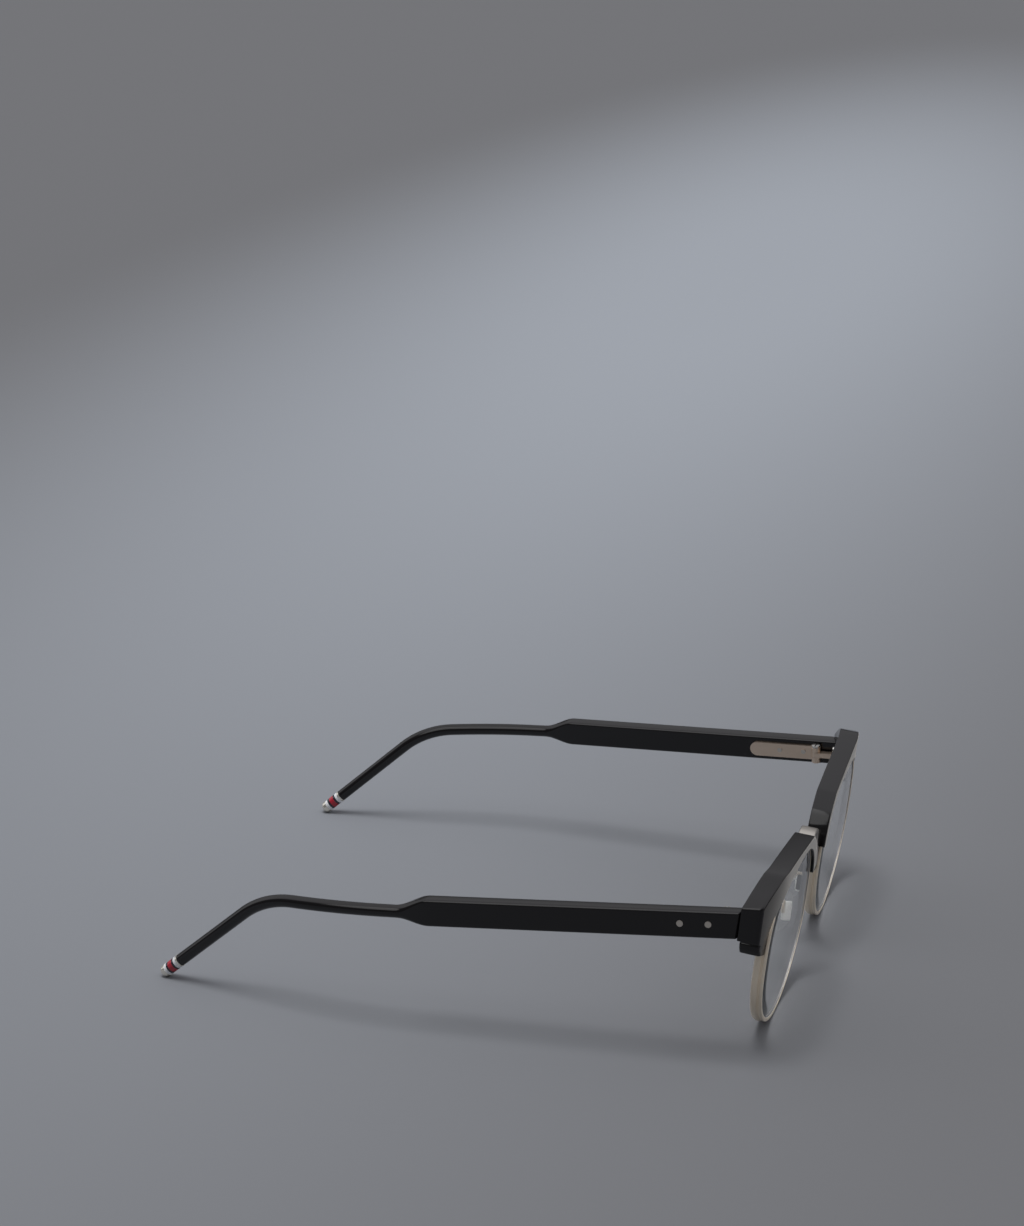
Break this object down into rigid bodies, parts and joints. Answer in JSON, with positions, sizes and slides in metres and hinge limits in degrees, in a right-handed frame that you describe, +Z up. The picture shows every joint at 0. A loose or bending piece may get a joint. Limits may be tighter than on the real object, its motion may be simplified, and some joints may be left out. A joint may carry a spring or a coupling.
{
  "type": "browline glasses",
  "caption": "Browline glasses with thin metal rims, solid black brows, clear lenses, adjustable nose pads and folding black temples with ringed tips.",
  "frame": {"origin": "on the table, under the middle of the open glasses", "axes": "+Z up, +Y from the front towards the temple tips, +X towards the wearer's left"},
  "size_m": [0.1406, 0.165, 0.0461],
  "materials": {
    "rim_metal": "pale champagne plate, satin",
    "hinge_metal": "pale champagne plate, brushed",
    "screw": "polished",
    "rivet": "satin",
    "acetate": "polished black acetate",
    "core": "drawn wire",
    "lens": "clear",
    "pad": "clear soft plastic",
    "pad_core": "milky white",
    "tip_metal": "polished silver",
    "ring_white": "polished white",
    "ring_dark": "polished near-black",
    "ring_red": "polished red"
  },
  "bodies": {
    "front": {"rim_right": "rim_metal", "rim_left": "rim_metal", "bridge": "rim_metal", "brow_right": "acetate", "brow_left": "acetate", "lens_right": "lens", "lens_left": "lens", "rim_lock_right": "rim_metal", "rim_lock_left": "rim_metal", "rim_screw_right": "screw", "rim_screw_left": "screw", "front_hinge_right": "hinge_metal", "front_hinge_left": "hinge_metal", "end_screws_right": "screw", "end_screws_left": "screw", "pad_arm_right": "rim_metal", "pad_arm_left": "rim_metal", "pad_screw_right": "screw", "pad_screw_left": "screw"},
    "temple_right": {"temple_right": "acetate", "temple_core_right": "core", "temple_hinge_right": "hinge_metal", "hinge_screw_right": "screw", "temple_rivets_right": "rivet", "tip_collar_right": "tip_metal", "tip_rings_white_right": "ring_white", "tip_rings_dark_right": "ring_dark", "tip_ring_red_right": "ring_red", "tip_cap_right": "tip_metal"},
    "temple_left": {"temple_left": "acetate", "temple_core_left": "core", "temple_hinge_left": "hinge_metal", "hinge_screw_left": "screw", "temple_rivets_left": "rivet", "tip_collar_left": "tip_metal", "tip_rings_white_left": "ring_white", "tip_rings_dark_left": "ring_dark", "tip_ring_red_left": "ring_red", "tip_cap_left": "tip_metal"},
    "nose_pad_right": {"pad_core_right": "pad_core", "nose_pad_right": "pad"},
    "nose_pad_left": {"pad_core_left": "pad_core", "nose_pad_left": "pad"}
  },
  "joints": [
    {"name": "temple_right_fold", "type": "hinge", "parent": "front", "child": "temple_right", "pos_m": [-0.05911, -0.06874, 0.03568], "axis": [-0.0572, -0.0613, -0.9965], "range_deg": [0, 80]},
    {"name": "temple_left_fold", "type": "hinge", "parent": "front", "child": "temple_left", "pos_m": [0.05911, -0.06874, 0.03568], "axis": [-0.0572, 0.0613, 0.9965], "range_deg": [0, 93]},
    {"name": "nose_pad_right_rock", "type": "hinge", "parent": "front", "child": "nose_pad_right", "pos_m": [-0.01248, -0.07207, 0.01962], "axis": [-0.3847, 0.9174, 0.1022], "range_deg": [-5, 5]},
    {"name": "nose_pad_left_rock", "type": "hinge", "parent": "front", "child": "nose_pad_left", "pos_m": [0.01248, -0.07207, 0.01962], "axis": [0.3847, 0.9174, 0.1022], "range_deg": [-5, 5]}
  ]
}
